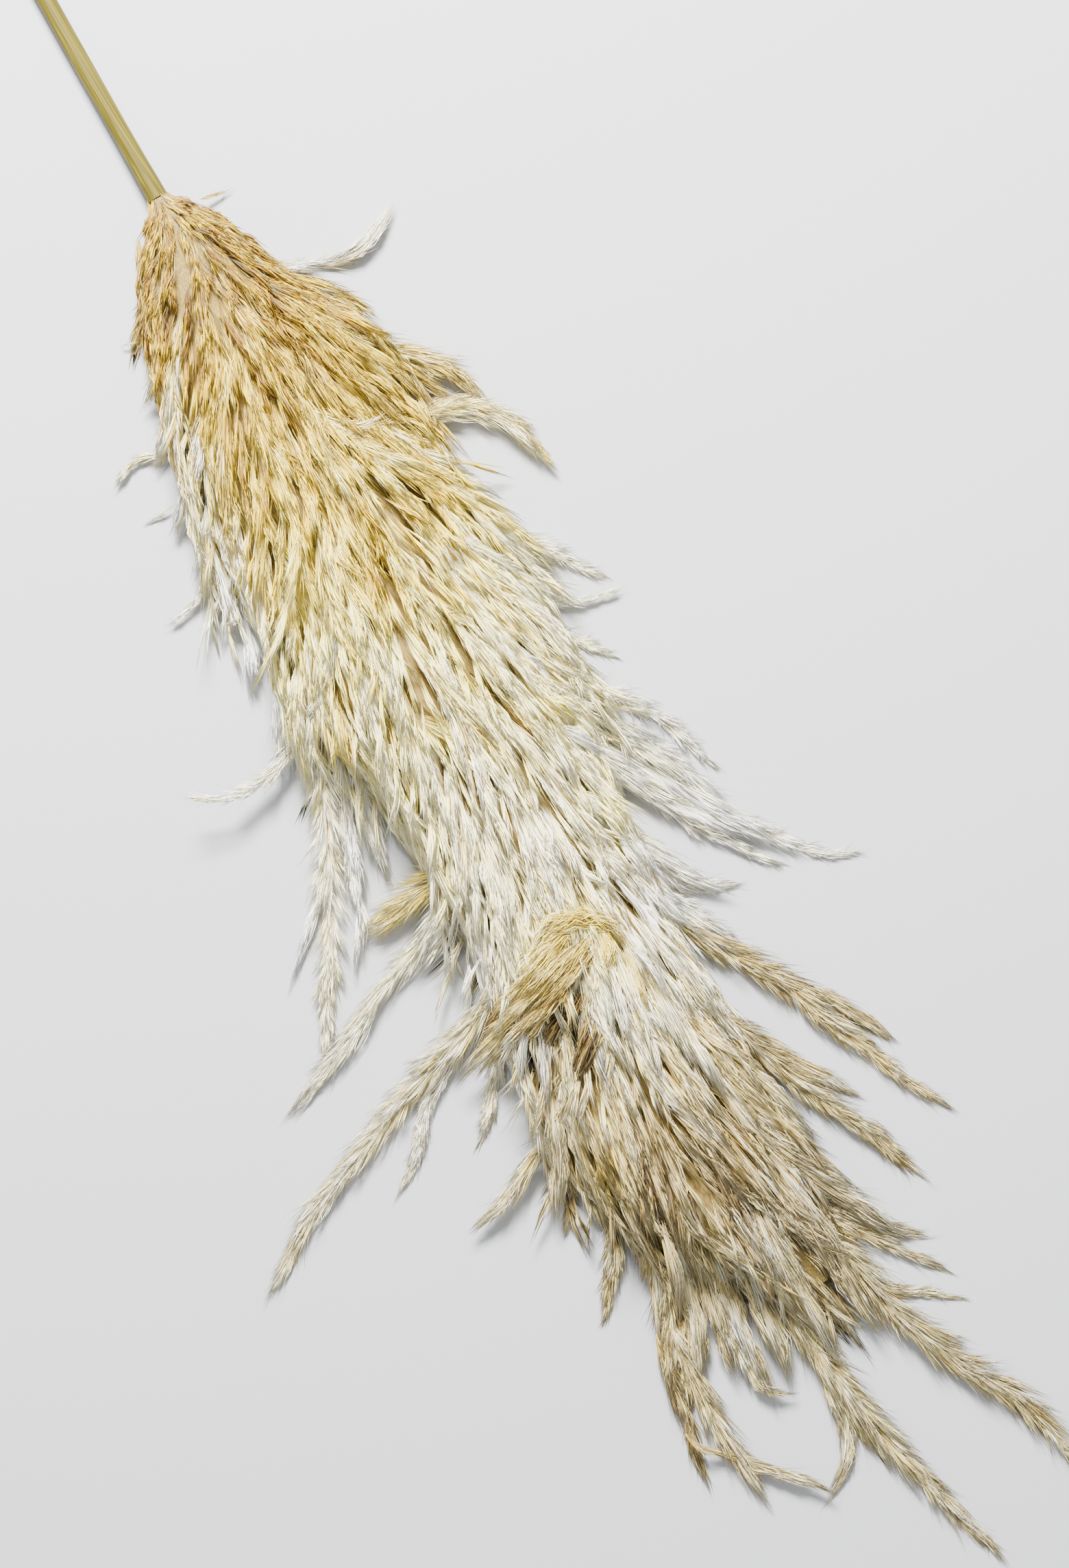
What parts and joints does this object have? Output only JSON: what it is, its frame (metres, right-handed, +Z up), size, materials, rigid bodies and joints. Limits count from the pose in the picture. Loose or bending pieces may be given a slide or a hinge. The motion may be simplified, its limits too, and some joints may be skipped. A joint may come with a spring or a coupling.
{
  "type": "pampas grass stem",
  "caption": "Cut stem of dried pampas grass lying on a surface: a long smooth culm that carries a dense, soft, pointed plume with many loose side plumelets.",
  "frame": {"origin": "the middle of the whole object's box in X and Y, on the surface that it lies on", "axes": "+X runs from the cut end of the stem to the tip of the plume, +Z is up, and +Y is across the plume"},
  "size_m": [0.9722, 0.2868, 0.0567],
  "materials": {
    "straw_stem": "smooth straw-yellow culm with fine lengthwise fibres and a slight sheen",
    "plume_hair": "soft golden to cream hair in pointed tufts, matte with a silky light edge",
    "plumelet_hair": "pale cream to grey-green hair in pointed tufts along thin branches"
  },
  "bodies": {
    "root": {"plume_body": "plume_hair", "plumelet_bottom_01": "plumelet_hair", "plumelet_bottom_02": "plumelet_hair", "plumelet_bottom_03": "plumelet_hair", "plumelet_bottom_04": "plumelet_hair", "plumelet_bottom_05": "plumelet_hair", "plumelet_bottom_06": "plumelet_hair", "plumelet_bottom_07": "plumelet_hair", "plumelet_bottom_08": "plumelet_hair", "plumelet_bottom_09": "plumelet_hair", "plumelet_left_01": "plumelet_hair", "plumelet_left_02": "plumelet_hair", "plumelet_left_03": "plumelet_hair", "plumelet_left_04": "plumelet_hair", "plumelet_left_05": "plumelet_hair", "plumelet_left_06": "plumelet_hair", "plumelet_left_07": "plumelet_hair", "plumelet_left_08": "plumelet_hair", "plumelet_left_09": "plumelet_hair", "plumelet_left_10": "plumelet_hair", "plumelet_left_11": "plumelet_hair", "plumelet_right_01": "plumelet_hair", "plumelet_right_02": "plumelet_hair", "plumelet_right_03": "plumelet_hair", "plumelet_right_04": "plumelet_hair", "plumelet_right_05": "plumelet_hair", "plumelet_right_06": "plumelet_hair", "plumelet_right_07": "plumelet_hair", "plumelet_right_08": "plumelet_hair", "plumelet_right_09": "plumelet_hair", "plumelet_right_10": "plumelet_hair", "plumelet_right_11": "plumelet_hair", "plumelet_right_12": "plumelet_hair", "plumelet_right_13": "plumelet_hair", "plumelet_right_14": "plumelet_hair", "plumelet_right_15": "plumelet_hair", "plumelet_right_16": "plumelet_hair", "plumelet_right_17": "plumelet_hair", "plumelet_right_18": "plumelet_hair", "plumelet_right_19": "plumelet_hair", "plumelet_right_20": "plumelet_hair", "stem": "straw_stem"}
  },
  "joints": []
}
